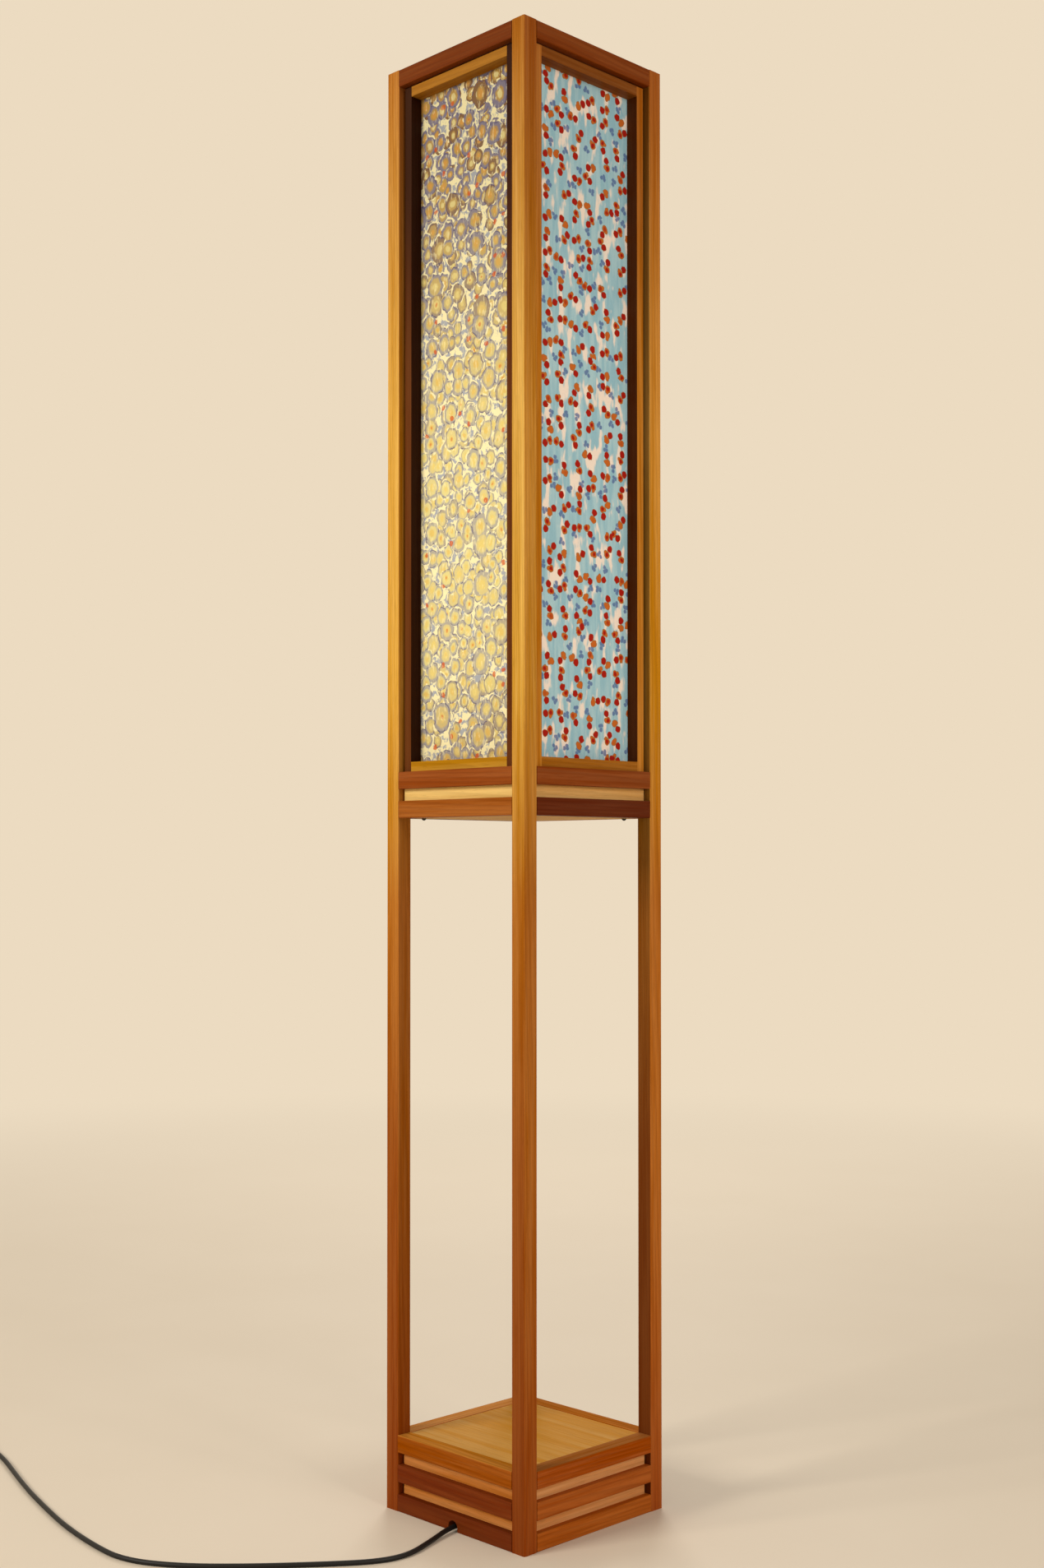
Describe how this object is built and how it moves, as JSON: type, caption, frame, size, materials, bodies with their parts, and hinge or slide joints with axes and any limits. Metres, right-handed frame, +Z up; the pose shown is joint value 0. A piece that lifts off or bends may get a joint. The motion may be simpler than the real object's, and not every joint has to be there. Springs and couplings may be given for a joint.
{
  "type": "andon floor lamp",
  "caption": "Tall square wooden floor lamp: a lantern with framed patterned papers over open posts and a shelf in a slatted foot, with a cord, in-line switch and plug.",
  "frame": {"origin": "middle of the lamp's square footprint on the floor", "axes": "+Z up along the posts; +X and -Y are the outward normals of the two sides that meet at the front post; the cord leaves under the -Y side"},
  "size_m": [1.0037, 0.6122, 1.8],
  "materials": {
    "post_wood": "reddish stained softwood, satin varnish, straight grain along each post",
    "rail_wood": "darker stained softwood, satin varnish, straight grain along each rail",
    "pale_wood": "unstained softwood, matt, straight grain along each strip",
    "golden_wood": "golden stained softwood, satin, straight grain along each member",
    "warm_paper": "cream mulberry paper with packed ringed discs, translucent",
    "cool_paper": "pale blue mulberry paper with paired drops and clouds, translucent",
    "dowel_wood": "plain dowel",
    "screw_metal": "black oxide steel",
    "holder_plastic": "white moulded thermoset",
    "cap_metal": "rolled screw cap",
    "opal_glass": "opal glass",
    "cord_sheath": "black flexible sheath, satin",
    "clip_plastic": "white moulded clip",
    "clamp_plastic": "black moulded clamp",
    "tie_strap": "black strap",
    "switch_plastic": "black moulded shells",
    "rocker_plastic": "black moulded rocker",
    "plug_plastic": "black moulded plug",
    "blade_metal": "brass blades"
  },
  "bodies": {
    "root": {"front_post": "post_wood", "left_post": "post_wood", "right_post": "post_wood", "rear_post": "post_wood", "top_rail_left": "rail_wood", "top_rail_right": "rail_wood", "top_rail_rear_right": "rail_wood", "top_rail_rear_left": "rail_wood", "shade_rail_left": "rail_wood", "shade_rail_right": "rail_wood", "shade_rail_rear_right": "rail_wood", "shade_rail_rear_left": "rail_wood", "lantern_floor_rail_left": "rail_wood", "lantern_floor_rail_right": "rail_wood", "lantern_floor_rail_rear_right": "rail_wood", "lantern_floor_rail_rear_left": "rail_wood", "base_top_rail_left": "rail_wood", "base_top_rail_right": "rail_wood", "base_top_rail_rear_right": "rail_wood", "base_top_rail_rear_left": "rail_wood", "base_middle_rail_left": "rail_wood", "base_middle_rail_right": "rail_wood", "base_middle_rail_rear_right": "rail_wood", "base_middle_rail_rear_left": "rail_wood", "base_bottom_rail_left": "rail_wood", "base_bottom_rail_right": "rail_wood", "base_bottom_rail_rear_right": "rail_wood", "base_bottom_rail_rear_left": "rail_wood", "lantern_slot_strips": "pale_wood", "base_slot_strips": "pale_wood", "shelf_board": "pale_wood", "shelf_cleats": "pale_wood", "lantern_floor_board": "pale_wood", "lantern_floor_cleats": "pale_wood", "round_head_screws": "screw_metal", "paper_frame_left": "golden_wood", "paper_frame_right": "golden_wood", "paper_frame_rear_right": "golden_wood", "paper_frame_rear_left": "golden_wood", "paper_left": "warm_paper", "paper_right": "cool_paper", "paper_rear_right": "warm_paper", "paper_rear_left": "cool_paper", "frame_pins": "dowel_wood", "lampholder": "holder_plastic", "bulb_cap": "cap_metal", "bulb_glass": "opal_glass", "inner_cable": "cord_sheath", "cable_clips": "clip_plastic", "cord_clamp": "clamp_plastic", "cord": "cord_sheath", "cord_lead": "cord_sheath", "cord_coil": "cord_sheath", "coil_tie": "tie_strap", "switch_base": "switch_plastic", "switch_cover": "switch_plastic", "plug_body": "plug_plastic", "plug_blades": "blade_metal"},
    "rocker": {"switch_rocker": "rocker_plastic"}
  },
  "joints": [
    {"name": "switch_rocker", "type": "hinge", "parent": "root", "child": "rocker", "pos_m": [-0.784, -0.35, 0.0126], "axis": [0, 1, 0], "range_deg": [-16, 0]}
  ]
}
